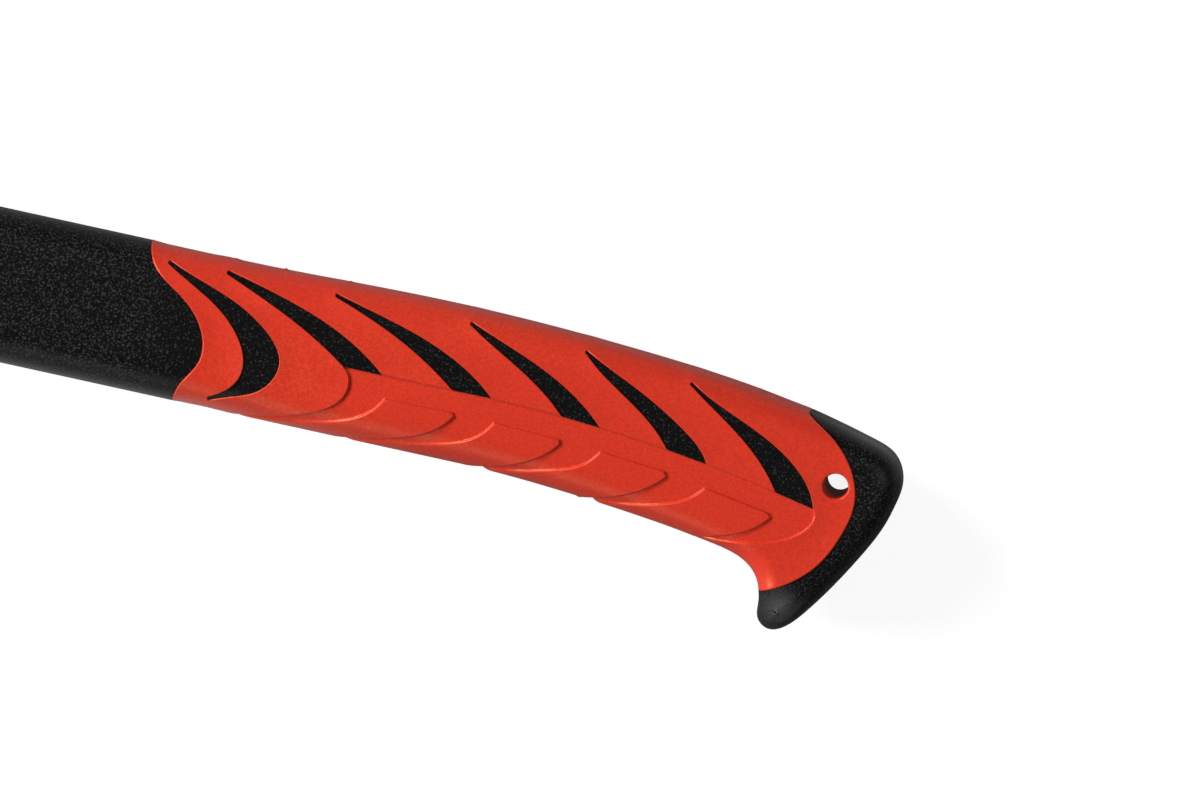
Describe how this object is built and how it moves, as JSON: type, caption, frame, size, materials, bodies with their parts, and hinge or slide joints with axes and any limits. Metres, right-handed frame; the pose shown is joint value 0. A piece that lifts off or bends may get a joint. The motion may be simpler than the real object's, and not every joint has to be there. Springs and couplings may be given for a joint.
{
  "type": "fire axe",
  "caption": "Pick-head fire axe: forged blade and pick on a straight black moulded handle, orange overmoulded grip with black windows, hooked pommel and hanging hole.",
  "frame": {"origin": "centre of the hanging hole, midway through the handle", "axes": "+X down the handle to the pommel, +Y to the pick side (back), -Y to the blade side, Z across the handle's thickness"},
  "size_m": [0.8152, 0.315, 0.04],
  "materials": {
    "forged_steel": "red enamel over forged steel, blade bevel and pick tip ground bare",
    "epoxy_fill": "poured black epoxy, slightly glossy where it shows in the eye",
    "fibreglass": "pultruded glass and resin bar, sealed in",
    "black_nylon": "glass-filled nylon with a fine spark-eroded grain",
    "orange_elastomer": "matte orange-red thermoplastic elastomer with a very fine grain",
    "black_rubber": "matte black rubber"
  },
  "bodies": {
    "root": {"axe_head": "forged_steel", "eye_resin": "epoxy_fill", "glass_core": "fibreglass", "handle_jacket": "black_nylon", "grip_overmould": "orange_elastomer", "overstrike_collar": "black_rubber"}
  },
  "joints": []
}
